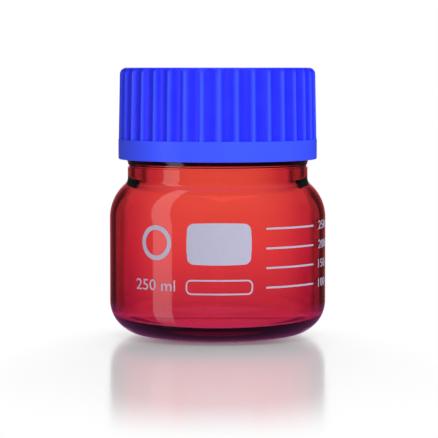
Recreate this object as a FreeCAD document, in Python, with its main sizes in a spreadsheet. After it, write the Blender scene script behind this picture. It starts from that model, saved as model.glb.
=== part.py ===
import FreeCAD, Part
import math
import os
import re

import Sketcher

# Wide-mouth laboratory reagent bottle: a thick amber glass body with a multi-start neck thread, a snap-on
# pouring ring, a two-layer sealing liner, a fluted screw cap and the fired-on enamel fields and graduations.
# Millimetres, +Z up, origin at the centre of the base. The front, with the writing field, faces -Y.

SIZES = {
    # glass body, outside
    "body_radius": 47.5,
    "heel_radius": 14.8,
    "base_ring_width": 4.2,
    "base_hollow_depth": 1.6,
    "shoulder_margin": 2.17,
    "shoulder_radius": 20.0,
    "neck_fillet": 3.2,
    "neck_step": 1.1,
    "neck_height": 41.86,
    # glass body, inside
    "wall_thickness": 3.8,
    "floor_thickness": 6.67,
    "floor_rise": 1.2,
    "inner_heel_radius": 6.0,
    "neck_wall": 4.0,
    "bore_fillet": 8.0,
    "rim_rounding": 1.1,
    # grooved band and bead under the thread
    "neck_land": 4.85,
    "groove_width": 1.2,
    "groove_depth": 0.45,
    "band_step": 1.0,
    "band_height": 0.5,
    "bead_width": 4.4,
    "bead_run": 1.0,
    # neck thread
    "thread_radius": 40.0,
    "thread_depth": 1.5,
    "thread_lead": 24.0,
    "thread_starts": 4,
    "thread_sweep": 140.0,
    "thread_base_width": 3.0,
    "thread_crest_width": 1.4,
    "thread_root_sink": 0.5,
    "thread_rise": 5.3,
    "thread_clearance": 0.4,
    "flank_clearance": 0.36,
    # pouring ring, snapped over the lip
    "ring_clearance": 0.3,
    "ring_wall": 0.8,
    "ring_fit": 0.05,
    "ring_top": 1.1,
    "ring_overlap": 1.0,
    "ring_rounding": 0.45,
    "lip_height": 4.2,
    "lip_groove_height": 2.0,
    "hook_height": 1.2,
    "hook_depth": 0.6,
    "hook_clearance": 0.15,
    # sealing liner
    "pad_thickness": 1.8,
    "face_thickness": 0.5,
    "liner_play": 0.5,
    # screw cap
    "cap_height": 40.0,
    "cap_roof": 3.0,
    "cap_wall": 1.65,
    "collar_height": 8.8,
    "collar_step": 0.15,
    "collar_edge": 0.3,
    "skirt_edge": 0.6,
    "grip_draft": 0.55,
    "top_edge_radius": 3.0,
    "lead_in": 0.6,
    "retainer_drop": 0.4,
    "retainer_width": 2.4,
    "retainer_height": 0.9,
    "flute_count": 36,
    "flute_depth": 1.4,
    "crest_width": 0.5,
    "first_flute_angle": 5.9,
    # fired-on enamel
    "enamel_thickness": 0.1,
    "field_width": 27.3,
    "field_height": 17.8,
    "field_drop": 8.5,
    "field_offset": 0.6,
    "field_corner": 3.6,
    "frame_width": 28.6,
    "frame_height": 6.4,
    "frame_drop": 26.7,
    "frame_corner": 2.4,
    "frame_line": 0.65,
    "scale_start_angle": 25.7,
    "scale_sweep": 34.2,
    "scale_line": 0.8,
}
GRADUATIONS_ML = (100, 150, 200, 250)
FRONT_ANGLE = -90
HEADROOM = 5

# Sizes worked out from the driving ones, as expressions of the sheet.
HEEL_FOOT = "(body_radius - heel_radius)"
HOLLOW_RADIUS = f"({HEEL_FOOT} - base_ring_width)"
INNER_RADIUS = "(body_radius - wall_thickness)"
INNER_FOOT = f"({INNER_RADIUS} - inner_heel_radius)"
INNER_SHOULDER = "(shoulder_radius - wall_thickness)"
THREAD_ROOT = "(thread_radius - thread_depth)"
NECK_RADIUS = f"({THREAD_ROOT} + neck_step)"
BORE_RADIUS = f"({THREAD_ROOT} - neck_wall)"


def graduation_height(millilitres):
    """How high that volume stands inside the glass, above the domed floor and the round inner heel."""
    straight = f"{INNER_FOOT}^2 * inner_heel_radius"
    round_off = f"{INNER_FOOT} * pi * inner_heel_radius^2 / 2"
    heel_volume = f"pi * ({straight} + {round_off} + 2 * inner_heel_radius^3 / 3)"
    dome_volume = f"pi * floor_rise * (3 * {INNER_FOOT}^2 + floor_rise^2) / 6"
    above = f"({millilitres * 1000} - {heel_volume} + {dome_volume}) / (pi * {INNER_RADIUS}^2)"
    return f"(floor_thickness + inner_heel_radius + {above})"


WALL_HEIGHT = f"({graduation_height(max(GRADUATIONS_ML))} + shoulder_margin)"


def tangent_blend(wall, convex, neck, concave):
    """A convex arc off the wall, then a concave one to the neck: where they meet, where the neck starts."""
    across = f"({neck} + {concave} - {wall} + {convex})"
    rise = f"sqrt(({convex} + {concave})^2 - {across}^2)"
    share = f"{convex} / ({convex} + {concave})"
    meet = (f"({wall} - {convex} + {across} * {share})", f"({WALL_HEIGHT} + {rise} * {share})")
    return meet, f"({WALL_HEIGHT} + {rise})"


OUTER_BLEND, NECK_START = tangent_blend("body_radius", "shoulder_radius", NECK_RADIUS, "neck_fillet")
INNER_BLEND, BORE_START = tangent_blend(INNER_RADIUS, INNER_SHOULDER, BORE_RADIUS, "bore_fillet")
RIM = f"({NECK_START} + neck_height)"
BAND_RADIUS = f"({THREAD_ROOT} + band_step)"
BAND_FOOT = f"({NECK_START} + neck_land + groove_width)"
BEAD_FOOT = f"({BAND_FOOT} + band_height)"
BEAD_HEAD = f"({BEAD_FOOT} + bead_width)"
THREAD_START = f"({BEAD_HEAD} + bead_run + thread_rise)"

CAP_ROOT = "(thread_radius + thread_clearance)"
CAP_THREAD_CREST = f"({THREAD_ROOT} + thread_clearance)"
RING_RADIUS = f"({CAP_THREAD_CREST} - ring_clearance)"
RING_BORE = f"({RING_RADIUS} - ring_wall)"
LIP_RADIUS = f"({RING_BORE} - ring_fit)"
LIP_FOOT = f"({RIM} - lip_height)"
LIP_GROOVE_FOOT = f"({LIP_FOOT} - lip_groove_height)"
LIP_GROOVE_RADIUS = f"({LIP_RADIUS} - hook_depth - hook_clearance)"

RING_HEAD = f"({RIM} + ring_top)"
FACE_HEAD = f"({RING_HEAD} + face_thickness)"
CAP_CEILING = f"({FACE_HEAD} + pad_thickness)"
CAP_TOP = f"({CAP_CEILING} + cap_roof)"
CAP_FOOT = f"({CAP_TOP} - cap_height)"
COLLAR_HEAD = f"({CAP_FOOT} + collar_height)"
LINER_RADIUS = f"({CAP_ROOT} - liner_play)"
GRIP_RADIUS = f"({CAP_ROOT} + cap_wall + flute_depth)"
GRIP_TOP_RADIUS = f"({GRIP_RADIUS} - grip_draft)"
COLLAR_RADIUS = f"({GRIP_RADIUS} + collar_step)"
ENAMEL_RADIUS = "(body_radius + enamel_thickness)"
FIELD_MIDDLE = f"({WALL_HEIGHT} - field_drop)"
FRAME_MIDDLE = f"({WALL_HEIGHT} - frame_drop)"

document = FreeCAD.newDocument("reagent_bottle")
sheet = document.addObject("Spreadsheet::Sheet", "Sizes")
for row, (alias, size) in enumerate(SIZES.items(), start=1):
    sheet.set(f"A{row}", alias)
    sheet.set(f"B{row}", str(size))
    sheet.setAlias(f"B{row}", alias)
document.recompute()


def in_sheet(expression):
    """The expression with each size's name pointed at its cell."""
    return re.sub(r"[a-z_]+", lambda word: f"Sizes.{word[0]}" if word[0] in SIZES else word[0], expression)


def measure(expression):
    return float(sheet.evalExpression(in_sheet(expression)))


def bind(feature, **expressions):
    for name, expression in expressions.items():
        feature.setExpression(name.replace("__", "."), in_sheet(expression))


def sag_radius(chord, sagitta):
    """Radius of the arc that stands that far off its chord."""
    return f"((({chord}) / 2)^2 + ({sagitta})^2) / (2 * ({sagitta}))"


def new_body(label):
    body = document.addObject("PartDesign::Body", label)
    body.Label = label
    return body


def origin_of(body, role):
    return next(feature for feature in body.Origin.OriginFeatures if feature.Role == role)


def new_sketch(body, name, role="XZ_Plane"):
    sketch = body.newObject("Sketcher::SketchObject", name)
    sketch.AttachmentSupport = [(origin_of(body, role), "")]
    sketch.MapMode = "FlatFace"
    return sketch


def fix(sketch, kind, *where, expression):
    index = sketch.addConstraint(Sketcher.Constraint(kind, *where, measure(expression)))
    sketch.setExpression(f"Constraints[{index}]", in_sheet(expression))


def fix_point(sketch, edge, end, x, y):
    """Ties a corner of the outline to the sheet, or to the axis that it lies on."""
    for kind, axis, place in (("DistanceX", -2, x), ("DistanceY", -1, y)):
        if place == "0":
            sketch.addConstraint(Sketcher.Constraint("PointOnObject", edge, end, axis))
        else:
            fix(sketch, kind, -1, 1, edge, end, expression=place)


def draw_edge(sketch, start, stop, radius, turn):
    """A line, or an arc that turns left (+1) or right (-1). Gives the edge and its ends at start and stop."""
    if not turn:
        return sketch.addGeometry(Part.LineSegment(start, stop)), 1, 2
    chord = stop - start
    left = FreeCAD.Vector(-chord.y, chord.x, 0) / chord.Length
    centre = (start + stop) / 2 + left * turn * math.sqrt(radius**2 - (chord.Length / 2) ** 2)
    first, last = (start, stop) if turn > 0 else (stop, start)
    angles = [math.atan2(end.y - centre.y, end.x - centre.x) for end in (first, last)]
    circle = Part.Circle(centre, FreeCAD.Vector(0, 0, 1), radius)
    edge = sketch.addGeometry(Part.ArcOfCircle(circle, *angles))
    return (edge, 1, 2) if turn > 0 else (edge, 2, 1)


def draw_outline(sketch, corners):
    """A closed outline. A corner is (x, y), reached by a line, or (x, y, radius, turn), reached by an arc."""
    places = [FreeCAD.Vector(measure(corner[0]), measure(corner[1]), 0) for corner in corners]
    edges = []
    for index, corner in enumerate(corners):
        radius, turn = (measure(corner[2]), corner[3]) if len(corner) > 2 else (0, 0)
        edges.append(draw_edge(sketch, places[index - 1], places[index], radius, turn))
    for index, corner in enumerate(corners):
        edge, _, end = edges[index]
        next_edge, next_start, _ = edges[(index + 1) % len(edges)]
        sketch.addConstraint(Sketcher.Constraint("Coincident", edge, end, next_edge, next_start))
        fix_point(sketch, edge, end, corner[0], corner[1])
        if len(corner) > 2:
            fix(sketch, "Radius", edge, expression=corner[2])


def rounded_box(middle_x, middle_y, width, height, corner):
    """Outline of a rectangle with rounded corners."""
    left, right = f"{middle_x} - ({width}) / 2", f"{middle_x} + ({width}) / 2"
    low, high = f"{middle_y} - ({height}) / 2", f"{middle_y} + ({height}) / 2"
    return [
        (f"{left} + {corner}", low, corner, 1),
        (f"{right} - {corner}", low),
        (right, f"{low} + {corner}", corner, 1),
        (right, f"{high} - {corner}"),
        (f"{right} - {corner}", high, corner, 1),
        (f"{left} + {corner}", high),
        (left, f"{high} - {corner}", corner, 1),
        (left, f"{low} + {corner}"),
    ]


def revolve(body, name, outline, kind="Revolution"):
    """Turns an outline in the XZ plane once round Z, to add it or to cut it away."""
    sketch = new_sketch(body, f"{name}_outline")
    draw_outline(sketch, outline)
    feature = body.newObject(f"PartDesign::{kind}", name)
    feature.Profile = sketch
    feature.ReferenceAxis = (sketch, ["V_Axis"])
    feature.Angle = 360
    document.recompute()
    return feature


def spread_round(body, feature, name, count):
    pattern = body.newObject("PartDesign::PolarPattern", name)
    pattern.Originals = [feature]
    pattern.Axis = (origin_of(body, "Z_Axis"), [""])
    pattern.Angle = 360
    bind(pattern, Occurrences=count)
    body.Tip = pattern
    document.recompute()
    return pattern


def add_thread(body, name, root, crest, inward, start):
    """Right-hand helical ridges, one for each start, rooted in the wall at the root radius."""
    foot = f"{root} {'+' if inward else '-'} thread_root_sink"
    half_base, half_crest = "thread_base_width / 2", "thread_crest_width / 2"
    sketch = new_sketch(body, f"{name}_section")
    draw_outline(sketch, [
        (foot, f"{start} - {half_base}"),
        (root, f"{start} - {half_base}"),
        (crest, f"{start} - {half_crest}"),
        (crest, f"{start} + {half_crest}"),
        (root, f"{start} + {half_base}"),
        (foot, f"{start} + {half_base}"),
    ])
    ridge = body.newObject("PartDesign::AdditiveHelix", f"{name}_ridge")
    ridge.Profile = sketch
    ridge.ReferenceAxis = (origin_of(body, "Z_Axis"), [""])
    ridge.Mode = "pitch-turns-angle"
    bind(ridge, Pitch="thread_lead", Turns="thread_sweep / 360")
    document.recompute()
    spread_round(body, ridge, f"{name}_starts", "thread_starts")


def make_bottle():
    """The glass: footed base, straight wall, round shoulder, bead, thread and a lip for the pouring ring."""
    body = new_body("bottle")
    bead_sag = sag_radius("bead_width", f"thread_radius - {BAND_RADIUS}")
    groove_sag = sag_radius("sqrt((neck_step - band_step)^2 + groove_width^2)", "groove_depth")
    hollow_sag = sag_radius(f"2 * {HOLLOW_RADIUS}", "base_hollow_depth")
    floor_sag = sag_radius(f"2 * {INNER_FOOT}", "floor_rise")
    revolve(body, "glass_wall", [
        ("0", "base_hollow_depth"),
        (HOLLOW_RADIUS, "0", hollow_sag, -1),
        (HEEL_FOOT, "0"),
        ("body_radius", "heel_radius", "heel_radius", 1),
        ("body_radius", WALL_HEIGHT),
        (*OUTER_BLEND, "shoulder_radius", 1),
        (NECK_RADIUS, NECK_START, "neck_fillet", -1),
        (NECK_RADIUS, f"{NECK_START} + neck_land"),
        (BAND_RADIUS, BAND_FOOT, groove_sag, -1),
        (BAND_RADIUS, BEAD_FOOT),
        (BAND_RADIUS, BEAD_HEAD, bead_sag, 1),
        (THREAD_ROOT, f"{BEAD_HEAD} + bead_run"),
        (THREAD_ROOT, LIP_GROOVE_FOOT),
        (LIP_GROOVE_RADIUS, LIP_GROOVE_FOOT),
        (LIP_GROOVE_RADIUS, LIP_FOOT),
        (LIP_RADIUS, LIP_FOOT),
        (LIP_RADIUS, f"{RIM} - rim_rounding"),
        (f"{LIP_RADIUS} - rim_rounding", RIM, "rim_rounding", 1),
        (f"{BORE_RADIUS} + rim_rounding", RIM),
        (BORE_RADIUS, f"{RIM} - rim_rounding", "rim_rounding", 1),
        (BORE_RADIUS, BORE_START),
        (*INNER_BLEND, "bore_fillet", 1),
        (INNER_RADIUS, WALL_HEIGHT, INNER_SHOULDER, -1),
        (INNER_RADIUS, "floor_thickness + inner_heel_radius"),
        (INNER_FOOT, "floor_thickness", "inner_heel_radius", -1),
        ("0", "floor_thickness + floor_rise", floor_sag, 1),
    ])
    add_thread(body, "neck_thread", THREAD_ROOT, "thread_radius", False, THREAD_START)
    return body


def make_pouring_ring():
    """A thin ring that covers the lip and hooks under it, with an edge that cuts off drips."""
    body = new_body("pouring_ring")
    hook_radius = f"{RING_BORE} - hook_depth"
    hook_head = f"{LIP_FOOT} - hook_clearance"
    hook_foot = f"{hook_head} - hook_height"
    revolve(body, "ring_wall_turned", [
        (hook_radius, hook_foot),
        (f"{RING_RADIUS} - ring_rounding", hook_foot),
        (RING_RADIUS, f"{hook_foot} + ring_rounding", "ring_rounding", 1),
        (RING_RADIUS, RING_HEAD),
        (f"{BORE_RADIUS} + ring_overlap + ring_rounding", RING_HEAD),
        (f"{BORE_RADIUS} + ring_overlap", f"{RING_HEAD} - ring_rounding", "ring_rounding", 1),
        (f"{BORE_RADIUS} + ring_overlap", RIM),
        (RING_BORE, RIM),
        (RING_BORE, hook_head),
        (hook_radius, hook_head),
    ])
    return body


def make_disc(label, foot, thickness):
    disc = document.addObject("Part::Cylinder", label)
    disc.Label = label
    bind(disc, Radius=LINER_RADIUS, Height=thickness, Placement__Base__z=foot)
    document.recompute()
    return disc


def cut_flutes(body):
    """Shallow hollow flutes up the drafted grip, with narrow crests between them."""
    half_angle = f"(180 / flute_count - crest_width / {GRIP_RADIUS} * 90 / pi)"
    rise = f"(flute_depth - {GRIP_RADIUS} * (1 - cos({half_angle})))"
    reach = f"({GRIP_RADIUS} * sin({half_angle}))"
    radius = f"(({rise})^2 + ({reach})^2) / (2 * ({rise}))"
    sections = []
    ends = (("flute_foot", GRIP_RADIUS, COLLAR_HEAD), ("flute_head", GRIP_TOP_RADIUS, CAP_TOP))
    for name, grip, height in ends:
        sketch = new_sketch(body, name, "XY_Plane")
        bind(sketch, AttachmentOffset__Base__z=height)
        offset = f"({grip} - flute_depth + {radius})"
        centre_x, centre_y = f"{offset} * cos(first_flute_angle)", f"{offset} * sin(first_flute_angle)"
        middle = FreeCAD.Vector(measure(centre_x), measure(centre_y), 0)
        circle = sketch.addGeometry(Part.Circle(middle, FreeCAD.Vector(0, 0, 1), measure(radius)))
        fix_point(sketch, circle, 3, centre_x, centre_y)
        fix(sketch, "Radius", circle, expression=radius)
        sections.append(sketch)
    document.recompute()
    flute = body.newObject("PartDesign::SubtractiveLoft", "flute")
    flute.Profile = sections[0]
    flute.Sections = [sections[1]]
    flute.Ruled = True
    document.recompute()
    spread_round(body, flute, "flutes", "flute_count")


def make_screw_cap():
    """Moulded cap: fluted grip over a plain collar, a bead that keeps the liner in, and an inside thread."""
    body = new_body("screw_cap")
    retainer_head = f"({RING_HEAD} - retainer_drop)"
    retainer_foot = f"({retainer_head} - retainer_width)"
    revolve(body, "cap_shell", [
        (f"{COLLAR_RADIUS} - skirt_edge", CAP_FOOT),
        (COLLAR_RADIUS, f"{CAP_FOOT} + skirt_edge", "skirt_edge", 1),
        (COLLAR_RADIUS, f"{COLLAR_HEAD} - collar_edge"),
        (f"{COLLAR_RADIUS} - collar_edge", COLLAR_HEAD, "collar_edge", 1),
        (GRIP_RADIUS, COLLAR_HEAD),
        (GRIP_TOP_RADIUS, f"{CAP_TOP} - top_edge_radius"),
        (f"{GRIP_TOP_RADIUS} - top_edge_radius", CAP_TOP, "top_edge_radius", 1),
        ("0", CAP_TOP),
        ("0", CAP_CEILING),
        (CAP_ROOT, CAP_CEILING),
        (CAP_ROOT, retainer_head),
        (CAP_ROOT, retainer_foot, sag_radius("retainer_width", "retainer_height"), 1),
        (CAP_ROOT, f"{CAP_FOOT} + lead_in"),
        (f"{CAP_ROOT} + lead_in", CAP_FOOT),
    ])
    cut_flutes(body)
    depth_share = "(thread_base_width - thread_crest_width) / 2 / thread_depth"
    mesh_gap = f"(thread_base_width - {depth_share} * (thread_depth + thread_clearance) + flank_clearance)"
    add_thread(body, "cap_thread", CAP_ROOT, CAP_THREAD_CREST, True, f"({THREAD_START} - {mesh_gap})")
    return body


def trim_to_wall(body):
    """Leaves only the enamel's thickness of a block that was pushed out through the glass wall."""
    for name, inner, outer in (
        ("inside", "0", "body_radius"),
        ("outside", ENAMEL_RADIUS, f"{ENAMEL_RADIUS} + {2 * HEADROOM}"),
    ):
        revolve(body, f"{name}_trim", [(inner, "0"), (outer, "0"), (outer, RIM), (inner, RIM)], "Groove")


def make_enamel(label, *outlines):
    """A printed shape that follows the round of the glass, standing off it by the enamel's thickness."""
    body = new_body(label)
    sketch = new_sketch(body, f"{label}_outline")
    for outline in outlines:
        draw_outline(sketch, outline)
    pad = body.newObject("PartDesign::Pad", f"{label}_block")
    pad.Profile = sketch
    bind(pad, Length=f"{ENAMEL_RADIUS} + {HEADROOM}")
    document.recompute()
    trim_to_wall(body)
    return body


def make_graduation(millilitres):
    """One enamel line of the scale, at the height of its volume."""
    body = new_body(f"graduation_{millilitres}")
    height = graduation_height(millilitres)
    low, high = f"{height} - scale_line / 2", f"{height} + scale_line / 2"
    line = revolve(body, f"line_{millilitres}", [
        ("body_radius", low),
        (ENAMEL_RADIUS, low),
        (ENAMEL_RADIUS, high),
        ("body_radius", high),
    ])
    bind(line, Angle="scale_sweep")
    body.Placement.Rotation = FreeCAD.Rotation(FreeCAD.Vector(0, 0, 1), 1)
    bind(body, Placement__Rotation__Angle=f"scale_start_angle + {FRONT_ANGLE}")
    document.recompute()
    return body


def make_parts():
    field = rounded_box("field_offset", FIELD_MIDDLE, "field_width", "field_height", "field_corner")
    frame = rounded_box("field_offset", FRAME_MIDDLE, "frame_width", "frame_height", "frame_corner")
    opening = rounded_box(
        "field_offset",
        FRAME_MIDDLE,
        "frame_width - 2 * frame_line",
        "frame_height - 2 * frame_line",
        "(frame_corner - frame_line)",
    )
    parts = [
        make_bottle(),
        make_pouring_ring(),
        make_disc("liner_face", RING_HEAD, "face_thickness"),
        make_disc("liner_pad", FACE_HEAD, "pad_thickness"),
        make_screw_cap(),
        make_enamel("writing_field", field),
        make_enamel("batch_frame", frame, opening),
    ]
    return parts + [make_graduation(millilitres) for millilitres in GRADUATIONS_ML]


def check(parts):
    for feature in document.Objects:
        if {"Invalid", "Error"} & set(feature.State):
            raise RuntimeError(f"{feature.Name} failed: {feature.State}")
    for part in parts:
        if part.Shape.isNull() or not part.Shape.isValid() or not part.Shape.Solids:
            raise RuntimeError(f"{part.Label} has no sound solid")


def write(parts):
    os.makedirs("parts", exist_ok=True)
    for part in parts:
        part.Shape.exportStep(f"parts/{part.Label}.step")
        print(part.Label, "solids", len(part.Shape.Solids), "volume", round(part.Shape.Volume, 2))


all_parts = make_parts()
document.recompute()
check(all_parts)
write(all_parts)
for label, height in (("height", CAP_TOP), ("rim", RIM), ("cap foot", CAP_FOOT)):
    print(label, round(measure(height), 3))
print("graduations", [round(measure(graduation_height(volume)), 2) for volume in GRADUATIONS_ML])
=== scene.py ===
import math

import bmesh
import bpy
from mathutils import Matrix, Vector


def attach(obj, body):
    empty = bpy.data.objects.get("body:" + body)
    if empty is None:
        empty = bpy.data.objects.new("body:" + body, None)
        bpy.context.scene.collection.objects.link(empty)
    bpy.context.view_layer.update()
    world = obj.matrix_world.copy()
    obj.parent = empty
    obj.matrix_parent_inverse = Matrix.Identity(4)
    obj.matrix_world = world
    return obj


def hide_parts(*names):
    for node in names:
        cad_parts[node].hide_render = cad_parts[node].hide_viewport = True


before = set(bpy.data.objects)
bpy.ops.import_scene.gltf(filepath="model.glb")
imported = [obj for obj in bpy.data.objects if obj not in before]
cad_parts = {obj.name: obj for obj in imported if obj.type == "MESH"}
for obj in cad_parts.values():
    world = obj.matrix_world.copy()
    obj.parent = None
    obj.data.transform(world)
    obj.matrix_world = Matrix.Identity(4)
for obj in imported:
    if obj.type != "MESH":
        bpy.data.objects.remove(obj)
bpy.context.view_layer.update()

bpy.context.scene.view_settings.view_transform = "Standard"
mm = 0.001


def linear(hexColour):  # sRGB hex to the linear values that the shaders take
    values = [int(hexColour[i:i + 2], 16) / 255 for i in (1, 3, 5)]
    return [v / 12.92 if v <= 0.04045 else ((v + 0.055) / 1.055) ** 2.4 for v in values] + [1.0]


def addNode(tree, kind, settings=None, links=None):  # links: socket -> (node, output name)
    node = tree.nodes.new(kind)
    for name, value in (settings or {}).items():
        if isinstance(name, str) and name not in node.inputs:
            setattr(node, name, value)
        else:
            node.inputs[name].default_value = value
    for name, (source, output) in (links or {}).items():
        tree.links.new(source.outputs[output], node.inputs[name])
    return node


def startMaterial(name):
    material = bpy.data.materials.new(name)
    material.use_nodes = True
    material.node_tree.nodes.clear()
    return material, material.node_tree


def traceOutline(bm, corners, arcStep=4.0):
    # a corner is (x, z), reached straight, or (x, z, radius, turn), reached by an arc to the left (1) or right (-1)
    first = last = bm.verts.new((corners[0][0] * mm, 0, corners[0][1] * mm))
    for corner in corners[1:]:
        goal = Vector((corner[0] * mm, 0, corner[1] * mm))
        run = goal - last.co
        if len(corner) == 2:
            support = 0.4 * mm  # loops close to the ends keep long straight walls shaded straight
            ends = [support / run.length, 1 - support / run.length, 1] if run.length > 2 * mm else [1]
            begin = last.co.copy()
            for share in ends:
                last = bmesh.ops.extrude_vert_indiv(bm, verts=[last])["verts"][0]
                last.co = begin + run * share
            continue
        radius, turn = corner[2] * mm, corner[3]
        left = Vector((-run.z, 0, run.x)).normalized()
        half = run.length / 2
        centre = last.co + run / 2 + left * turn * math.sqrt(max(radius ** 2 - half ** 2, 0))
        angle = 2 * math.asin(min(half / radius, 1))
        steps = max(3, math.ceil(math.degrees(angle) / arcStep))
        made = bmesh.ops.spin(bm, geom=[last], cent=centre, axis=(0, -turn, 0), angle=angle, steps=steps)
        last = made["geom_last"][0]
        last.co = goal
    return first, last


def sagRadius(chord, sag):
    return ((chord / 2) ** 2 + sag ** 2) / (2 * sag)


def spinOutline(bm, corners, steps, arcStep=4.0, closed=False):
    first, last = traceOutline(bm, corners, arcStep)
    if closed:
        bm.edges.new((last, first))
    sectors = 12  # one sector is turned, then copied round, which is far quicker than a full turn
    bmesh.ops.spin(bm, geom=bm.verts[:] + bm.edges[:], cent=(0, 0, 0), axis=(0, 0, 1), angle=math.tau / sectors,
                   steps=steps // sectors)
    bmesh.ops.spin(bm, geom=bm.verts[:] + bm.edges[:] + bm.faces[:], cent=(0, 0, 0), axis=(0, 0, 1),
                   angle=math.tau * (1 - 1 / sectors), steps=sectors - 1, use_duplicate=True)
    bmesh.ops.remove_doubles(bm, verts=bm.verts[:], dist=0.001 * mm)
    bmesh.ops.recalc_face_normals(bm, faces=bm.faces[:])


def finishPiece(bm, name, body, material, nodes=(), sharpAngle=50):
    for face in bm.faces:
        face.smooth = True
    for edge in bm.edges:
        edge.smooth = edge.calc_face_angle(0) < math.radians(sharpAngle)
    mesh = bpy.data.meshes.new(name)
    bm.to_mesh(mesh)
    bm.free()
    piece = bpy.data.objects.new(name, mesh)
    bpy.context.collection.objects.link(piece)
    mesh.materials.append(material)
    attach(piece, body)
    if nodes:
        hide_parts(*nodes)
    print("made", name, "with", len(mesh.polygons), "faces")


# Borosilicate glass with an amber stain fired into its outside: smooth and clear within. The stain's tone changes
# with height as painted light: lighter and warmer near the neck, darker at the heel.
glassCore = [(0, 0), (5.6, 0), (6, 43.6), (10, 45.2), (15, 45.6), (51, 45.6), (56, 45), (60, 43.3), (64, 40.3),
             (67, 37.7), (70, 36.8), (111, 35.8)]  # height and radius halfway through the glass
# tints by height in mm: the stain's tone with painted light in it, lighter toward the neck, darker at the heel and
# pink at the foot
stainAndPaintedLightTones = [(2, "#E86A9A"), (6.5, "#C23142"), (37.7, "#F95A49"), (74, "#FF7A49")]


def makeAmberGlass():
    material, tree = startMaterial("amberStainedBorosilicate")
    place = addNode(tree, "ShaderNodeTexCoord")
    waves = addNode(tree, "ShaderNodeTexNoise", {"Scale": 1 / (22 * mm), "Detail": 1.0},
                    {"Vector": (place, "Object")})  # slow waves of blown glass, 22 mm apart
    ripple = addNode(tree, "ShaderNodeBump", {"Strength": 0.02, "Distance": 0.4 * mm}, {"Height": (waves, "Fac")})
    axes = addNode(tree, "ShaderNodeSeparateXYZ", None, {"Vector": (place, "Object")})
    top, wide = glassCore[-1][0], 50.0
    height = addNode(tree, "ShaderNodeMapRange", {"From Max": top * mm}, {"Value": (axes, "Z")})
    # the outside's tint by height, which carries the painted light of the tones above
    stainWithPaintedLight = addNode(tree, "ShaderNodeValToRGB", None, {"Fac": (height, "Result")})
    core = addNode(tree, "ShaderNodeValToRGB", None, {"Fac": (height, "Result")})
    coreTones = [(z, [radius / wide] * 3 + [1.0]) for z, radius in glassCore]
    for band, stops in ((stainWithPaintedLight, [(z, linear(tone)) for z, tone in stainAndPaintedLightTones]), (core, coreTones)):
        ends = list(band.color_ramp.elements)
        for (z, tone), stop in zip((stops[0], stops[-1]), ends):
            stop.position, stop.color = z / top, tone
        for z, tone in stops[1:-1]:
            band.color_ramp.elements.new(z / top).color = tone
    flat = addNode(tree, "ShaderNodeVectorMath", {"operation": "MULTIPLY", 1: (1, 1, 0)}, {0: (place, "Object")})
    spread = addNode(tree, "ShaderNodeVectorMath", {"operation": "LENGTH"}, {0: (flat, "Vector")})
    share = addNode(tree, "ShaderNodeMath", {"operation": "DIVIDE", 1: wide * mm}, {0: (spread, "Value")})
    outside = addNode(tree, "ShaderNodeMath", {"operation": "GREATER_THAN"},
                      {0: (share, "Value"), 1: (core, "Color")})
    skin = addNode(tree, "ShaderNodeMix", {"data_type": "RGBA", 6: linear("#FFFFFF")},
                   {0: (outside, "Value"), 7: (stainWithPaintedLight, "Color")})
    glass = addNode(tree, "ShaderNodeBsdfPrincipled",
                    {"Roughness": 0.0, "IOR": 1.473, "Transmission Weight": 1.0},
                    {"Normal": (ripple, "Normal"), "Base Color": (skin, 2)})
    depth = addNode(tree, "ShaderNodeVolumeAbsorption", {"Color": (0.727, 0.09, 0.545, 1), "Density": 110.0})
    addNode(tree, "ShaderNodeOutputMaterial", None, {"Surface": (glass, "BSDF"), "Volume": (depth, "Volume")})
    return material


# Injection-moulded polypropylene: waxy satin, fine spark-eroded grain, deep royal blue.
def makeBluePolypropylene():
    material, tree = startMaterial("bluePolypropylene")
    place = addNode(tree, "ShaderNodeTexCoord")
    flow = addNode(tree, "ShaderNodeTexNoise", {"Scale": 1 / (9 * mm), "Detail": 3.0}, {"Vector": (place, "Object")})
    flat = addNode(tree, "ShaderNodeVectorMath", {"operation": "MULTIPLY", 1: (1, 1, 0)}, {0: (place, "Object")})
    spread = addNode(tree, "ShaderNodeVectorMath", {"operation": "LENGTH"}, {0: (flat, "Vector")})
    axes = addNode(tree, "ShaderNodeSeparateXYZ", None, {"Vector": (place, "Object")})
    upright = addNode(tree, "ShaderNodeMath", {"operation": "MULTIPLY_ADD", 1: 0.0195},
                      {0: (axes, "Z"), 2: (spread, "Value")})  # radius with the draft of the grip taken out
    crest = addNode(tree, "ShaderNodeMapRange", {"From Min": 44.2 * mm, "From Max": 45.15 * mm},
                    {"Value": (upright, "Value")})  # painted highlight and shade: the outer crests are paler, the flute hollows darker
    mottleAndPaintedCrestLight = addNode(tree, "ShaderNodeMath", {"operation": "MULTIPLY_ADD", 1: 0.2, "use_clamp": True},
                    {0: (flow, "Fac"), 2: (crest, "Result")})
    # hollow tone to crest tone: painted shade in the flute hollows and a painted highlight on the crests, mixed with
    # the moulding's random mottle
    tint = addNode(tree, "ShaderNodeMix", {"data_type": "RGBA", 6: linear("#1016F4"), 7: linear("#304AFF")},
                   {0: (mottleAndPaintedCrestLight, "Value")})
    grain = addNode(tree, "ShaderNodeTexNoise", {"Scale": 1 / (0.35 * mm), "Detail": 2.0},
                    {"Vector": (place, "Object")})  # real grain is about 0.1 mm, drawn coarser so that it shows
    bump = addNode(tree, "ShaderNodeBump", {"Strength": 0.12, "Distance": 0.05 * mm}, {"Height": (grain, "Fac")})
    gloss = addNode(tree, "ShaderNodeMapRange", {"To Min": 0.34, "To Max": 0.44}, {"Value": (flow, "Fac")})
    plastic = addNode(tree, "ShaderNodeBsdfPrincipled", {"IOR": 1.49},
                      {"Base Color": (tint, 2), "Roughness": (gloss, "Result"), "Normal": (bump, "Normal")})
    addNode(tree, "ShaderNodeOutputMaterial", None, {"Surface": (plastic, "BSDF")})
    return material


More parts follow.
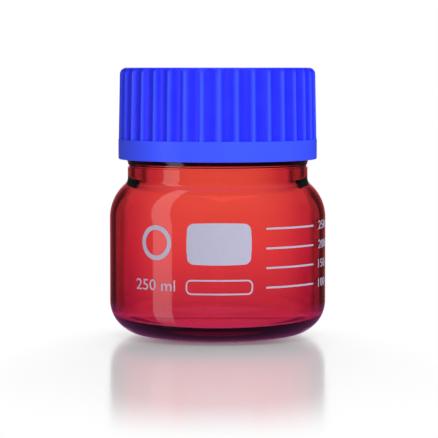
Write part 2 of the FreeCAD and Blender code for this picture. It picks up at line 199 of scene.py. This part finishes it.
# Matt plastics and print: two close tones over a fine tooth.
def makeMatt(name, dark, light, roughness, spotSize, toothSize, tooth):
    material, tree = startMaterial(name)
    place = addNode(tree, "ShaderNodeTexCoord")
    cloud = addNode(tree, "ShaderNodeTexNoise", {"Scale": 1 / (spotSize * mm), "Detail": 4.0},
                    {"Vector": (place, "Object")})
    tone = addNode(tree, "ShaderNodeMix", {"data_type": "RGBA", 6: linear(dark), 7: linear(light)},
                   {0: (cloud, "Fac")})
    grit = addNode(tree, "ShaderNodeTexNoise", {"Scale": 1 / (toothSize * mm), "Detail": 2.0},
                   {"Vector": (place, "Object")})
    bump = addNode(tree, "ShaderNodeBump", {"Strength": tooth, "Distance": 0.05 * mm}, {"Height": (grit, "Fac")})
    shine = addNode(tree, "ShaderNodeMapRange", {"To Min": roughness - 0.06, "To Max": roughness + 0.06},
                    {"Value": (cloud, "Fac")})
    surface = addNode(tree, "ShaderNodeBsdfPrincipled", {"IOR": 1.45},
                      {"Base Color": (tone, 2), "Roughness": (shine, "Result"), "Normal": (bump, "Normal")})
    addNode(tree, "ShaderNodeOutputMaterial", None, {"Surface": (surface, "BSDF")})
    return material


amberGlass = makeAmberGlass()
bluePolypropylene = makeBluePolypropylene()
# The ring's polypropylene: the cap's blue, flatter and without the painted highlights on its crests.
ringPolypropylene = makeMatt("bluePolypropyleneRing", "#1B1DDC", "#2A2CF0", 0.4, 6, 0.4, 0.1)
# Silicone: a dull, warm off-white that looks soft.
paleSilicone = makeMatt("paleSilicone", "#CFCCC4", "#DEDCD5", 0.6, 5, 0.5, 0.2)
# PTFE film: a cold white with a waxy shine.
ptfeFilm = makeMatt("ptfeFilm", "#E3E3DF", "#EFEFEC", 0.42, 8, 0.6, 0.08)
# Fired enamel: a grey lilac print, slightly rough and quite opaque.
firedEnamel = makeMatt("firedEnamel", "#A19FB4", "#AAA8BD", 0.5, 2.4, 0.25, 0.25)
print("materials ready")

# The thread that the glass and the cap share.
thread = {"root": 38.5, "crest": 40.0, "lead": 24.0, "starts": 4, "sweep": 140.0, "foot": 86.0,
          "halfBase": 1.5, "halfCrest": 0.7, "runOut": 9.0, "clearance": 0.4, "meshGap": 2.347, "onWall": 0.02}


def ridgeShare(angle, height, foot):
    # 0 beside the thread, 1 on its crest, for one point of the wall
    best = 0.0
    spacing = 360 / thread["starts"]
    for start in range(thread["starts"]):
        along = (math.degrees(angle) - start * spacing) % 360
        if along > thread["sweep"]:
            continue
        offset = abs(height - foot - thread["lead"] * along / 360)
        flank = (thread["halfBase"] - offset) / (thread["halfBase"] - thread["halfCrest"])
        ends = min(along, thread["sweep"] - along) / thread["runOut"]
        share = max(0, min(1, flank)) * math.sin(min(1, ends) * math.pi / 2)
        best = max(best, share * share * (3 - 2 * share))
    return best


def pushThread(bm, wallRadius, goalRadius, foot):
    rise = thread["lead"] * thread["sweep"] / 360 + thread["halfBase"]
    for vert in bm.verts:
        height, radius = vert.co.z / mm, math.hypot(vert.co.x, vert.co.y) / mm
        if abs(radius - wallRadius) > thread["onWall"] or not foot - thread["halfBase"] < height < foot + rise:
            continue
        share = ridgeShare(math.atan2(vert.co.y, vert.co.x), height, foot)
        scale = 1 + (goalRadius / wallRadius - 1) * share
        vert.co.x *= scale
        vert.co.y *= scale


bottle = {"radius": 47.5, "heel": 14.8, "hollow": 28.5, "hollowDepth": 1.6, "wallTop": 51.3, "shoulder": 20.0,
          "neckFillet": 3.2, "neck": 39.6, "neckLand": 4.85, "groove": 1.2, "grooveDepth": 0.45, "band": 39.5,
          "bandHeight": 0.5, "bead": 4.4, "beadRun": 1.0, "rim": 110.6, "lip": 37.75, "lipHeight": 4.2,
          "lipGroove": 2.0, "lipGrooveRadius": 37.0, "rimRounding": 1.1, "wall": 3.8, "floor": 6.67, "floorRise": 1.2,
          "innerHeel": 6.0, "bore": 34.5, "boreFillet": 8.0, "steps": 288, "threadRows": 48, "rowMargin": 2.2}


def blendArcs(wall, convex, neck, concave, foot):
    across = neck + concave - wall + convex
    rise = math.sqrt((convex + concave) ** 2 - across ** 2)
    share = convex / (convex + concave)
    return (wall - convex + across * share, foot + rise * share), foot + rise


def makeBottle():
    b = bottle
    heelFoot, inner = b["radius"] - b["heel"], b["radius"] - b["wall"]
    innerFoot, innerShoulder = inner - b["innerHeel"], b["shoulder"] - b["wall"]
    outerMeet, neckStart = blendArcs(b["radius"], b["shoulder"], b["neck"], b["neckFillet"], b["wallTop"])
    innerMeet, boreStart = blendArcs(inner, innerShoulder, b["bore"], b["boreFillet"], b["wallTop"])
    bandFoot = neckStart + b["neckLand"] + b["groove"]
    beadFoot = bandFoot + b["bandHeight"]
    beadHead = beadFoot + b["bead"]
    lipFoot = b["rim"] - b["lipHeight"]
    grooveFoot = lipFoot - b["lipGroove"]
    rowFoot = thread["foot"] - b["rowMargin"]
    rowRise = (thread["lead"] * thread["sweep"] / 360 + 2 * b["rowMargin"]) / b["threadRows"]
    threadRows = [(thread["root"], rowFoot + rowRise * row) for row in range(b["threadRows"] + 1)]
    bm = bmesh.new()
    spinOutline(bm, [
        (0, b["hollowDepth"]),
        (b["hollow"], 0, sagRadius(2 * b["hollow"], b["hollowDepth"]), -1),
        (heelFoot, 0),
        (b["radius"], b["heel"], b["heel"], 1),
        (b["radius"], b["wallTop"]),
        (*outerMeet, b["shoulder"], 1),
        (b["neck"], neckStart, b["neckFillet"], -1),
        (b["neck"], neckStart + b["neckLand"]),
        (b["band"], bandFoot, sagRadius(b["groove"], b["grooveDepth"]), -1),
        (b["band"], beadFoot),
        (b["band"], beadHead, sagRadius(b["bead"], thread["crest"] - b["band"]), 1),
        (thread["root"], beadHead + b["beadRun"]),
        *threadRows,
        (thread["root"], grooveFoot),
        (b["lipGrooveRadius"], grooveFoot),
        (b["lipGrooveRadius"], lipFoot),
        (b["lip"], lipFoot),
        (b["lip"], b["rim"] - b["rimRounding"]),
        (b["lip"] - b["rimRounding"], b["rim"], b["rimRounding"], 1),
        (b["bore"] + b["rimRounding"], b["rim"]),
        (b["bore"], b["rim"] - b["rimRounding"], b["rimRounding"], 1),
        (b["bore"], boreStart),
        (*innerMeet, b["boreFillet"], 1),
        (inner, b["wallTop"], innerShoulder, -1),
        (inner, b["floor"] + b["innerHeel"]),
        (innerFoot, b["floor"], b["innerHeel"], -1),
        (0, b["floor"] + b["floorRise"], sagRadius(2 * innerFoot, b["floorRise"]), 1),
    ], b["steps"])
    pushThread(bm, thread["root"], thread["crest"], thread["foot"])
    finishPiece(bm, "amberBottle", "bottle", amberGlass, ["bottle"])


makeBottle()

cap = {"top": 117.0, "height": 40.0, "roof": 3.0, "collar": 43.6, "collarHeight": 8.8, "collarEdge": 0.3,
       "skirtEdge": 0.6, "grip": 43.45, "gripTop": 42.9, "topEdge": 3.0, "root": 40.4, "leadIn": 0.6,
       "retainerHead": 111.3, "retainerWidth": 2.4, "retainerHeight": 0.9, "flutes": 36, "fluteDepth": 1.4,
       "crestWidth": 0.5, "firstFlute": 5.9, "stepsPerFlute": 12, "crestSteps": 1, "gripRows": 10, "threadRows": 40,
       "rowMargin": 1.9, "insideGuard": 0.7}


def fluteRadius():
    halfAngle = math.pi / cap["flutes"] - cap["crestWidth"] / cap["grip"] / 2
    rise = cap["fluteDepth"] - cap["grip"] * (1 - math.cos(halfAngle))
    reach = cap["grip"] * math.sin(halfAngle)
    return (rise ** 2 + reach ** 2) / (2 * rise), halfAngle


def cutFlutes(bm, collarTop):
    # each upright row slides to an even place in its flute, then goes in as far as the flute's hollow
    radius, halfAngle = fluteRadius()
    pitch = math.tau / cap["flutes"]
    plainStep, inside = pitch / cap["stepsPerFlute"], cap["stepsPerFlute"] / 2 - cap["crestSteps"]
    for vert in bm.verts:
        reach, height = math.hypot(vert.co.x, vert.co.y) / mm, vert.co.z / mm
        if reach < cap["root"] + cap["insideGuard"] or height < collarTop - 0.01:
            continue
        angle = math.atan2(vert.co.y, vert.co.x)
        steps = round(((angle + pitch / 2) % pitch - pitch / 2) / plainStep)
        if abs(steps) <= inside:
            offset = halfAngle * steps / inside
        else:
            over = (abs(steps) - inside) / cap["crestSteps"]
            offset = math.copysign(halfAngle + (pitch / 2 - halfAngle) * over, steps)
        middle = angle - ((angle + pitch / 2) % pitch - pitch / 2)
        draft = (height - collarTop) / (cap["top"] - cap["topEdge"] - collarTop)
        wall = cap["grip"] + (cap["gripTop"] - cap["grip"]) * draft
        centre = wall - cap["fluteDepth"] + radius
        hollow = centre * math.cos(offset) - math.sqrt(max(radius ** 2 - (centre * math.sin(offset)) ** 2, 0))
        if abs(steps) > inside:
            hollow = reach
        reach = min(reach, hollow) * mm
        place = middle + offset + math.radians(cap["firstFlute"])
        vert.co.x, vert.co.y = reach * math.cos(place), reach * math.sin(place)


def makeCap():
    c = cap
    foot, ceiling = c["top"] - c["height"], c["top"] - c["roof"]
    collarTop = foot + c["collarHeight"]
    gripHead = c["top"] - c["topEdge"]
    gripRows = [(c["grip"] + (c["gripTop"] - c["grip"]) * row / c["gripRows"],
                 collarTop + (gripHead - collarTop) * row / c["gripRows"]) for row in range(c["gripRows"] + 1)]
    threadFoot = thread["foot"] - thread["meshGap"]
    rowFoot = threadFoot - c["rowMargin"]
    rowRise = (thread["lead"] * thread["sweep"] / 360 + 2 * c["rowMargin"]) / c["threadRows"]
    threadRows = [(c["root"], rowFoot + rowRise * row) for row in range(c["threadRows"], -1, -1)]
    retainerFoot = c["retainerHead"] - c["retainerWidth"]
    bm = bmesh.new()
    spinOutline(bm, [
        (0, ceiling),
        (c["root"], ceiling),
        (c["root"], c["retainerHead"]),
        (c["root"], retainerFoot, sagRadius(c["retainerWidth"], c["retainerHeight"]), 1),
        *threadRows,
        (c["root"], foot + c["leadIn"]),
        (c["root"] + c["leadIn"], foot),
        (c["collar"] - c["skirtEdge"], foot),
        (c["collar"], foot + c["skirtEdge"], c["skirtEdge"], 1),
        (c["collar"], collarTop - c["collarEdge"]),
        (c["collar"] - c["collarEdge"], collarTop, c["collarEdge"], 1),
        *gripRows,
        (c["gripTop"] - c["topEdge"], c["top"], c["topEdge"], 1),
        (0, c["top"]),
    ], c["flutes"] * c["stepsPerFlute"], 6.0)
    cutFlutes(bm, collarTop)
    pushThread(bm, c["root"], thread["root"] + thread["clearance"], threadFoot)
    bmesh.ops.recalc_face_normals(bm, faces=bm.faces[:])
    finishPiece(bm, "screwCap", "cap", bluePolypropylene, ["screw_cap"], 60)


makeCap()

ring = {"radius": 38.6, "bore": 37.8, "mouth": 35.5, "foot": 105.05, "rim": 110.6, "head": 111.7, "hook": 37.2,
        "hookHead": 106.25, "rounding": 0.45, "steps": 192}


def makeRing():
    r = ring
    bm = bmesh.new()
    spinOutline(bm, [
        (r["hook"], r["foot"]),
        (r["radius"] - r["rounding"], r["foot"]),
        (r["radius"], r["foot"] + r["rounding"], r["rounding"], 1),
        (r["radius"], r["head"]),
        (r["mouth"] + r["rounding"], r["head"]),
        (r["mouth"], r["head"] - r["rounding"], r["rounding"], 1),
        (r["mouth"], r["rim"]),
        (r["bore"], r["rim"]),
        (r["bore"], r["hookHead"]),
        (r["hook"], r["hookHead"]),
    ], r["steps"], 15.0, closed=True)
    finishPiece(bm, "pouringRing", "bottle", ringPolypropylene, ["pouring_ring"], 35)


makeRing()

liner = {"radius": 39.9, "foot": 111.7, "face": 0.5, "pad": 1.8, "edge": 0.12, "steps": 192}


def makeDisc(name, node, material, foot, head):
    radius, edge = liner["radius"], liner["edge"]
    bm = bmesh.new()
    spinOutline(bm, [
        (0, foot),
        (radius - edge, foot),
        (radius, foot + edge, edge, 1),
        (radius, head - edge),
        (radius - edge, head, edge, 1),
        (0, head),
    ], liner["steps"], 30.0)
    finishPiece(bm, name, "liner", material, [node], 35)


faceHead = liner["foot"] + liner["face"]
makeDisc("linerFace", "liner_face", ptfeFilm, liner["foot"], faceHead)
makeDisc("linerPad", "liner_pad", paleSilicone, faceHead, faceHead + liner["pad"])

# Fired-on print: flat shapes in millimetres round the wall and up it, wrapped on the glass.
enamel = {"sink": 0.03, "height": 0.1, "strip": 0.7}


def wrapOnGlass(bm):
    # cut into narrow upright strips, give it thickness, then bend it round the wall
    bmesh.ops.remove_doubles(bm, verts=bm.verts[:], dist=0.00001 * mm)
    low = min(vert.co.x for vert in bm.verts)
    high = max(vert.co.x for vert in bm.verts)
    strip = enamel["strip"] * mm
    for cut in range(1, math.ceil((high - low) / strip)):
        bmesh.ops.bisect_plane(bm, geom=bm.verts[:] + bm.edges[:] + bm.faces[:], plane_co=(low + cut * strip, 0, 0),
                               plane_no=(1, 0, 0), dist=0.0001 * mm)
    base = bm.faces[:]
    grown = bmesh.ops.extrude_face_region(bm, geom=base, use_keep_orig=True)["geom"]
    bmesh.ops.translate(bm, verts=[v for v in grown if isinstance(v, bmesh.types.BMVert)],
                        vec=(0, -(enamel["sink"] + enamel["height"]) * mm, 0))
    bmesh.ops.recalc_face_normals(bm, faces=bm.faces[:])
    for vert in bm.verts:
        angle = vert.co.x / (bottle["radius"] * mm)
        reach = (bottle["radius"] - enamel["sink"]) * mm - vert.co.y
        vert.co = (reach * math.sin(angle), -reach * math.cos(angle), vert.co.z)


def finishPrint(bm, name, nodes=()):
    wrapOnGlass(bm)
    finishPiece(bm, name, "bottle", firedEnamel, nodes, 40)


def roundBox(bm, left, low, right, high, corner, bulge):
    # corners of arcs, sides that swell a little
    width, height = right - left - 2 * corner, high - low - 2 * corner
    across, upright = sagRadius(width, bulge), sagRadius(height, bulge)
    first, last = traceOutline(bm, [
        (left + corner, low), (right - corner, low, across, 1), (right, low + corner, corner, 1),
        (right, high - corner, upright, 1), (right - corner, high, corner, 1), (left + corner, high, across, 1),
        (left, high - corner, corner, 1), (left, low + corner, upright, 1), (left + corner, low, corner, 1),
    ], 8.0)
    bmesh.ops.remove_doubles(bm, verts=[first, last], dist=0.01 * mm)


writingField = {"left": -13.0, "right": 14.3, "low": 34.2, "high": 51.5, "corner": 3.0, "bulge": 0.3}
bm = bmesh.new()
roundBox(bm, **writingField)
bmesh.ops.contextual_create(bm, geom=bm.edges[:])
finishPrint(bm, "writingField", ["writing_field"])

batchFrame = {"left": -13.6, "right": 15.2, "low": 21.4, "high": 27.8, "corner": 2.4, "line": 0.65, "bulge": 0.02}
bm = bmesh.new()
for inset in (0, batchFrame["line"]):
    roundBox(bm, batchFrame["left"] + inset, batchFrame["low"] + inset, batchFrame["right"] - inset,
             batchFrame["high"] - inset, batchFrame["corner"] - inset, batchFrame["bulge"])
bmesh.ops.bridge_loops(bm, edges=bm.edges[:])
finishPrint(bm, "batchFrame", ["batch_frame"])

scale = {"left": 21.3, "right": 49.7, "line": 0.8, "heights": {100: 24.13, 150: 32.46, 200: 40.79, 250: 49.13},
         "numeralLeft": 55.0, "numeralSize": 5.3, "numeralStretch": 1.45}
for volume, height in scale["heights"].items():
    bm = bmesh.new()
    bmesh.ops.create_grid(bm, x_segments=1, y_segments=1, size=0.5 * mm)
    bmesh.ops.rotate(bm, verts=bm.verts[:], matrix=Matrix.Rotation(math.pi / 2, 3, "X"))
    bmesh.ops.scale(bm, verts=bm.verts[:], vec=(scale["right"] - scale["left"], 1, scale["line"]))
    bmesh.ops.translate(bm, verts=bm.verts[:], vec=((scale["left"] + scale["right"]) / 2 * mm, 0, height * mm))
    finishPrint(bm, f"scaleLine{volume}", [f"graduation_{volume}"])


def addText(bm, words, left, middle, size, stretch=1.0):
    # plain numerals, made a mesh and stood up on the front
    curve = bpy.data.curves.new("numerals", "FONT")
    curve.body, curve.size, curve.resolution_u = words, size * mm, 3
    holder = bpy.data.objects.new("numerals", curve)
    bpy.context.collection.objects.link(holder)
    bpy.context.view_layer.update()
    flat = bpy.data.meshes.new_from_object(holder.evaluated_get(bpy.context.evaluated_depsgraph_get()))
    bpy.data.objects.remove(holder)
    start = len(bm.verts)
    bm.from_mesh(flat)
    bm.verts.ensure_lookup_table()
    letters = bm.verts[start:]
    low = Vector([min(v.co[i] for v in letters) for i in range(3)])
    high = Vector([max(v.co[i] for v in letters) for i in range(3)])
    bmesh.ops.translate(bm, verts=letters, vec=(-low.x, -(low.y + high.y) / 2, 0))
    bmesh.ops.scale(bm, verts=letters, vec=(stretch, 1, 1))
    bmesh.ops.rotate(bm, verts=letters, matrix=Matrix.Rotation(math.pi / 2, 3, "X"))
    bmesh.ops.translate(bm, verts=letters, vec=(left * mm, 0, middle * mm))


bm = bmesh.new()
for volume, height in scale["heights"].items():
    addText(bm, str(volume), scale["numeralLeft"], height, scale["numeralSize"], scale["numeralStretch"])
finishPrint(bm, "scaleNumerals")

volumeMark = {"left": -38.6, "middle": 25.0, "size": 6.7, "stretch": 1.13}
bm = bmesh.new()
addText(bm, "250 ml", **volumeMark)
finishPrint(bm, "volumeMark")

roundSpot = {"x": -27.6, "z": 43.0, "outer": 7.4, "line": 1.9}
bm = bmesh.new()
for radius in (roundSpot["outer"], roundSpot["outer"] - roundSpot["line"]):
    bmesh.ops.create_circle(bm, segments=96, radius=radius * mm)
bmesh.ops.bridge_loops(bm, edges=bm.edges[:])
bmesh.ops.rotate(bm, verts=bm.verts[:], matrix=Matrix.Rotation(math.pi / 2, 3, "X"))
bmesh.ops.translate(bm, verts=bm.verts[:], vec=(roundSpot["x"] * mm, 0, roundSpot["z"] * mm))
finishPrint(bm, "roundSpot")
print("print ready")

studio = {"distance": 1.0, "eye": 0.117, "side": 0.0006, "lens": 186.9, "pitch": 3.81, "floorSize": 6.0,
          "surround": 0.9, "surroundHeight": 4.0, "stripLean": 0.25, "stripLevel": 1.8, "dimLevel": 0.04,
          "roomLevel": 0.19, "sideTone": "#DFA8E8", "flagTone": "#521944", "duskLevel": 3.0, "sideLevel": 0.6}
# Degrees from straight behind, then metres, between which each part of the stage fades in or out.
turns = {"flagStart": (12, 20), "flagStop": (30, 36), "rose": (0, 10), "mirror": (6, 18), "stripStart": (-132, -130),
         "stripStop": (-109, -107)}
spans = {"near": (0.07, 0.2), "tall": (0.25, 0.45), "behind": (-0.02, 0.02), "strip": (0.045, 0.07),
         "dusk": (0.07, 0.18), "table": (0.085, 0.18)}
tableSpot = {"shift": 0.12, "squeeze": 1.9}


def makeCamera():
    lens = bpy.data.cameras.new("photoCamera")
    lens.lens, lens.sensor_width = studio["lens"], 36
    camera = bpy.data.objects.new("photoCamera", lens)
    camera.location = (studio["side"], -studio["distance"], studio["eye"])
    camera.rotation_euler = (math.radians(90 - studio["pitch"]), 0, 0)
    bpy.context.collection.objects.link(camera)
    bpy.context.scene.camera = camera


def ramp(tree, source, low, high, start=0.0, stop=1.0):
    return addNode(tree, "ShaderNodeMapRange", {"From Min": low, "From Max": high, "To Min": start, "To Max": stop,
                                                "interpolation_type": "SMOOTHSTEP"}, {"Value": source}), "Result"


def work(tree, operation, first, second):
    # a Math node on two links or numbers
    node = addNode(tree, "ShaderNodeMath", {"operation": operation})
    for socket, source in zip(node.inputs, (first, second)):
        if isinstance(source, tuple):
            tree.links.new(source[0].outputs[source[1]], socket)
        else:
            socket.default_value = source
    return node, "Value"


def makeWorld():
    world = bpy.data.worlds.new("studioWorld")
    world.use_nodes = True
    tree = world.node_tree
    tree.nodes.clear()
    light = addNode(tree, "ShaderNodeLightPath")
    seen = work(tree, "MAXIMUM", (light, "Is Camera Ray"), (light, "Is Transmission Ray"))
    seen = work(tree, "MAXIMUM", seen, (light, "Is Glossy Ray"))
    room = addNode(tree, "ShaderNodeBackground", {"Color": linear("#FFFFFF"), "Strength": studio["roomLevel"]})
    white = addNode(tree, "ShaderNodeBackground", {"Color": linear("#FFFFFF"), "Strength": 1.0})
    mix = addNode(tree, "ShaderNodeMixShader", None, {0: seen, 1: (room, "Background"), 2: (white, "Background")})
    addNode(tree, "ShaderNodeOutputWorld", None, {"Surface": (mix, "Shader")})
    bpy.context.scene.world = world


def turnRamp(tree, angle, name, start=0.0, stop=1.0):
    return ramp(tree, angle, *[math.radians(turn) for turn in turns[name]], start, stop)


def direction(tree, across, along, focusX, focusY):
    # angle from +Y, seen from the point that the glass spreads its rays from
    return work(tree, "ARCTAN2", work(tree, "SUBTRACT", across, focusX), work(tree, "SUBTRACT", along, focusY))


def stageLight(tree):
    # what the glass sees of the studio: white behind, a dark flag then rose card to each side, a leaning strip at the
    # left front, and a plum dusk on the floor round its foot
    place = addNode(tree, "ShaderNodeTexCoord")
    axes = addNode(tree, "ShaderNodeSeparateXYZ", None, {"Vector": (place, "Object")})
    x, y, z = [(axes, name) for name in "XYZ"]
    edge = direction(tree, work(tree, "ABSOLUTE", x, 0), y, 40 * mm, -18 * mm)
    leaning = work(tree, "SUBTRACT", y, work(tree, "MULTIPLY", z, studio["stripLean"]))
    strip = direction(tree, x, leaning, -5.9 * mm, -30.8 * mm)
    opened = turnRamp(tree, edge, "flagStart", 1.0, 0.0)
    closed = turnRamp(tree, edge, "flagStop", 0.0, studio["sideLevel"])
    reach = addNode(tree, "ShaderNodeVectorMath", {"operation": "LENGTH"}, {0: (place, "Object")}), "Value"
    near, tall = ramp(tree, reach, *spans["near"], 1.0, 0.0), ramp(tree, z, *spans["tall"])
    through = work(tree, "MAXIMUM", work(tree, "MAXIMUM", opened, closed), work(tree, "MAXIMUM", near, tall))
    behind = ramp(tree, y, *spans["behind"])
    mirror = work(tree, "MULTIPLY", behind, turnRamp(tree, edge, "mirror", 1.0, 0.0))
    begun = turnRamp(tree, strip, "stripStart")
    ended = turnRamp(tree, strip, "stripStop", studio["stripLevel"], 0.0)
    stripLight = work(tree, "MULTIPLY", work(tree, "MULTIPLY", begun, ended), ramp(tree, reach, *spans["strip"]))
    shine = work(tree, "ADD", work(tree, "MAXIMUM", mirror, studio["dimLevel"]), stripLight)
    light = addNode(tree, "ShaderNodeLightPath")
    seen = addNode(tree, "ShaderNodeMix", None, {"Factor": (light, "Is Transmission Ray"), "A": shine, "B": through})
    aside = work(tree, "MULTIPLY", turnRamp(tree, edge, "rose"), (light, "Is Transmission Ray"))
    tint = addNode(tree, "ShaderNodeMix", {"data_type": "RGBA", 6: linear("#FFFFFF"), 7: linear(studio["sideTone"])},
                   {0: aside})
    lit = addNode(tree, "ShaderNodeEmission", None, {"Color": (tint, 2), "Strength": (seen, "Result")})
    low = ramp(tree, reach, *spans["dusk"], studio["duskLevel"], 0.0)
    dim = addNode(tree, "ShaderNodeMix", {"B": 1.0}, {"Factor": (light, "Is Transmission Ray"), "A": low})
    dusk = addNode(tree, "ShaderNodeEmission", {"Color": linear(studio["flagTone"])}, {"Strength": (dim, "Result")})
    both = addNode(tree, "ShaderNodeAddShader", None, {0: (lit, "Emission"), 1: (dusk, "Emission")})
    return both, light, place


def stagePiece(bm, name, material):
    mesh = bpy.data.meshes.new(name)
    bm.to_mesh(mesh)
    bm.free()
    piece = bpy.data.objects.new(name, mesh)
    mesh.materials.append(material)
    bpy.context.collection.objects.link(piece)
    return piece


def makeFloor():
    material, tree = startMaterial("whiteAcrylicTable")
    lit, light, place = stageLight(tree)
    spot = addNode(tree, "ShaderNodeMapping",
                   {"Location": (0, tableSpot["shift"], 0), "Scale": (tableSpot["squeeze"], 1.0, 1.0)},
                   {"Vector": (place, "Object")})  # an oval that keeps the shadow, with white past it
    away = addNode(tree, "ShaderNodeVectorMath", {"operation": "LENGTH"}, {0: (spot, "Vector")})
    fade = ramp(tree, (away, "Value"), *spans["table"])
    board = addNode(tree, "ShaderNodeBsdfPrincipled",
                    {"Base Color": linear("#F6F6F6"), "Roughness": 0.16, "IOR": 1.5})
    glow = addNode(tree, "ShaderNodeEmission", {"Color": linear("#FFFFFF"), "Strength": 1.0})
    mix = addNode(tree, "ShaderNodeMixShader", None, {0: fade, 1: (board, "BSDF"), 2: (glow, "Emission")})
    inGlass = work(tree, "MAXIMUM", (light, "Is Glossy Ray"), (light, "Is Transmission Ray"))
    choice = addNode(tree, "ShaderNodeMixShader", None, {0: inGlass, 1: (mix, "Shader"), 2: (lit, "Shader")})
    addNode(tree, "ShaderNodeOutputMaterial", None, {"Surface": (choice, "Shader")})
    bm = bmesh.new()
    bmesh.ops.create_grid(bm, x_segments=2, y_segments=2, size=studio["floorSize"])
    bmesh.ops.translate(bm, verts=bm.verts[:], vec=(0, 0, -0.0002))
    stagePiece(bm, "table", material)


def makeSurround():
    material, tree = startMaterial("studioSurround")  # the cards and flags, out of the camera's sight
    addNode(tree, "ShaderNodeOutputMaterial", None, {"Surface": (stageLight(tree)[0], "Shader")})
    bm = bmesh.new()
    bmesh.ops.create_cone(bm, segments=96, radius1=studio["surround"], radius2=studio["surround"],
                          depth=studio["surroundHeight"])
    bmesh.ops.translate(bm, verts=bm.verts[:], vec=(0, 0, studio["surroundHeight"] / 2 - 0.001))
    surround = stagePiece(bm, "surround", material)
    roof, tree = startMaterial("studioRoof")
    dim = addNode(tree, "ShaderNodeEmission", {"Color": linear("#FFFFFF"), "Strength": studio["dimLevel"]})
    addNode(tree, "ShaderNodeOutputMaterial", None, {"Surface": (dim, "Emission")})
    bm = bmesh.new()
    bmesh.ops.create_circle(bm, cap_ends=True, segments=64, radius=studio["surround"])
    bmesh.ops.translate(bm, verts=bm.verts[:], vec=(0, 0, studio["surroundHeight"]))
    ceiling = stagePiece(bm, "ceiling", roof)
    for piece in (surround, ceiling):
        piece.visible_camera = piece.visible_diffuse = piece.visible_shadow = False
    ceiling.visible_transmission = False


def addSoftbox(name, place, target, size, power):
    lamp = bpy.data.lights.new(name, "AREA")
    lamp.shape, lamp.size, lamp.energy = "SQUARE", size, power
    box = bpy.data.objects.new(name, lamp)
    box.location = place
    box.rotation_euler = (Vector(target) - Vector(place)).to_track_quat("-Z", "Y").to_euler()
    box.visible_glossy = False
    bpy.context.collection.objects.link(box)


makeCamera()
makeWorld()
makeFloor()
makeSurround()
softboxes = {
    "keySoftbox": {"place": (0.4, -1.17, 0.45), "target": (0, 0, 0.08), "size": 0.5, "power": 13.5},
    "topSoftbox": {"place": (0.1, -0.1, 1.3), "target": (0, 0, 0.06), "size": 0.9, "power": 9},
}
for name, softbox in softboxes.items():
    addSoftbox(name, **softbox)
print("studio ready")
